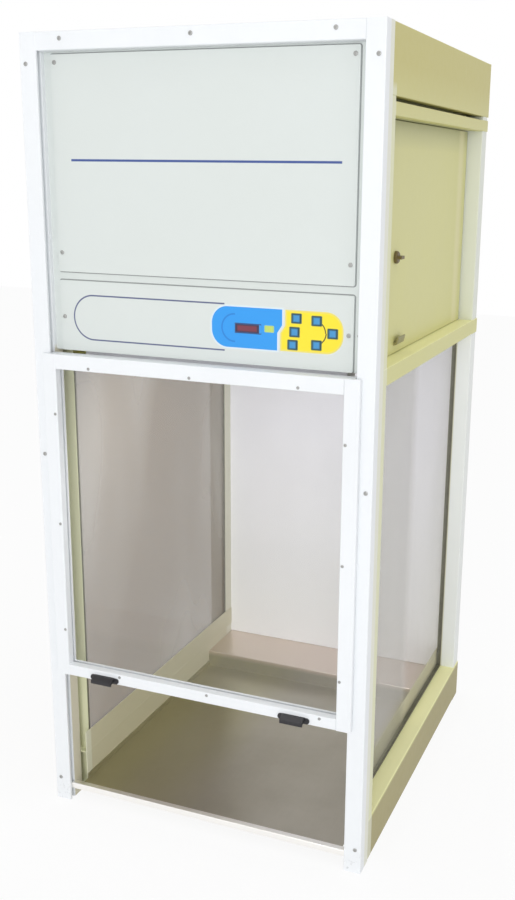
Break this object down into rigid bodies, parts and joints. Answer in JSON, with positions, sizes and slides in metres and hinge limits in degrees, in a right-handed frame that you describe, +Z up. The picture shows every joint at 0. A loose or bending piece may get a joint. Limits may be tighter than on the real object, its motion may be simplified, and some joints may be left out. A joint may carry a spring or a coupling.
{
  "type": "ductless fume hood",
  "caption": "Bench fume hood with a white frame, sliding glass sash, side windows and steel tray, under a head with keypad, filters and blower.",
  "frame": {"origin": "middle of the hood's outline on the surface it stands on", "axes": "+X to the user's right, -Y to the front where the sash is, +Z up"},
  "size_m": [0.6, 0.725, 1.35],
  "materials": {
    "white_aluminium": "white powder coat on extruded aluminium",
    "cream_paint": "satin cream powder coat",
    "white_paint": "satin white powder coat",
    "grey_paint": "satin pale grey paint",
    "stainless": "brushed stainless steel",
    "galvanised": "galvanised sheet",
    "clear_glass": "clear safety glass",
    "gasket_rubber": "black extruded rubber",
    "black_plastic": "moulded black plastic",
    "display_red": "dark red transparent window",
    "lens_yellow": "yellow lens",
    "key_blue": "blue membrane key",
    "board_green": "circuit board",
    "filter_mat": "white filter fibre",
    "carbon_bed": "activated carbon in a cell frame",
    "screw_steel": "zinc plated",
    "lamp_white": "white lamp tube",
    "motor_black": "black enamel"
  },
  "bodies": {
    "root": {"front_post_left": "white_aluminium", "front_post_right": "white_aluminium", "front_top_rail": "white_aluminium", "rear_post_left": "white_aluminium", "rear_post_right": "white_aluminium", "side_frame_left": "cream_paint", "side_frame_right": "cream_paint", "side_window_left": "clear_glass", "side_window_right": "clear_glass", "window_gaskets": "gasket_rubber", "work_tray": "stainless", "plinth_rear": "cream_paint", "rear_wall": "white_paint", "rear_cover": "cream_paint", "top_cover": "cream_paint", "exhaust_grille": "galvanised", "side_panel_left": "cream_paint", "electronics_cover": "cream_paint", "door_pivots": "screw_steel", "fascia_plate": "grey_paint", "upper_front_panel": "grey_paint", "control_panel": "grey_paint", "display_window": "display_red", "indicator_lens": "lens_yellow", "control_board": "board_green", "filter_deck": "galvanised", "intake_grille": "white_paint", "prefilter": "filter_mat", "hepa_filter": "filter_mat", "carbon_filter": "carbon_bed", "filter_seal": "gasket_rubber", "compartment_wall": "galvanised", "fan_plate": "galvanised", "inlet_ring": "galvanised", "blower_motor": "motor_black", "motor_bracket": "galvanised", "lamp_housing": "white_paint", "lamp_tube": "lamp_white", "power_unit": "motor_black", "mains_inlet": "black_plastic", "screws": "screw_steel", "sash_stops": "gasket_rubber"},
    "sash": {"sash_stile_left": "white_aluminium", "sash_stile_right": "white_aluminium", "sash_top_rail": "white_aluminium", "sash_bottom_rail": "white_aluminium", "sash_glass": "clear_glass", "sash_pulls": "black_plastic", "guide_shoes": "black_plastic", "sash_screws": "screw_steel"},
    "service_door": {"service_door": "cream_paint", "door_grip": "black_plastic"},
    "door_latch": {"door_latch": "black_plastic"},
    "blower_wheel": {"blower_wheel": "black_plastic"},
    "key_1": {"key_1": "key_blue"},
    "key_2": {"key_2": "key_blue"},
    "key_3": {"key_3": "key_blue"},
    "key_4": {"key_4": "key_blue"},
    "key_5": {"key_5": "key_blue"},
    "key_6": {"key_6": "key_blue"}
  },
  "joints": [
    {"name": "sash_slide", "type": "slide", "parent": "root", "child": "sash", "axis": [0, 0, 1], "range_m": [0, 0.47]},
    {"name": "service_door_hinge", "type": "hinge", "parent": "root", "child": "service_door", "pos_m": [0.266, 0.3135, 1.04], "axis": [0, 0, 1], "range_deg": [0, 90]},
    {"name": "door_latch_turn", "type": "hinge", "parent": "service_door", "child": "door_latch", "pos_m": [0.27, -0.1545, 1.013], "axis": [1, 0, 0], "range_deg": [0, 90]},
    {"name": "blower_spin", "type": "hinge", "parent": "root", "child": "blower_wheel", "pos_m": [0, 0.0625, 1.067], "axis": [0, 0, 1], "continuous": true},
    {"name": "key_1_press", "type": "slide", "parent": "root", "child": "key_1", "axis": [0, 1, 0], "range_m": [0, 0.0005], "stiffness_N_per_m": 1500},
    {"name": "key_2_press", "type": "slide", "parent": "root", "child": "key_2", "axis": [0, 1, 0], "range_m": [0, 0.0005], "stiffness_N_per_m": 1500},
    {"name": "key_3_press", "type": "slide", "parent": "root", "child": "key_3", "axis": [0, 1, 0], "range_m": [0, 0.0005], "stiffness_N_per_m": 1500},
    {"name": "key_4_press", "type": "slide", "parent": "root", "child": "key_4", "axis": [0, 1, 0], "range_m": [0, 0.0005], "stiffness_N_per_m": 1500},
    {"name": "key_5_press", "type": "slide", "parent": "root", "child": "key_5", "axis": [0, 1, 0], "range_m": [0, 0.0005], "stiffness_N_per_m": 1500},
    {"name": "key_6_press", "type": "slide", "parent": "root", "child": "key_6", "axis": [0, 1, 0], "range_m": [0, 0.0005], "stiffness_N_per_m": 1500}
  ]
}
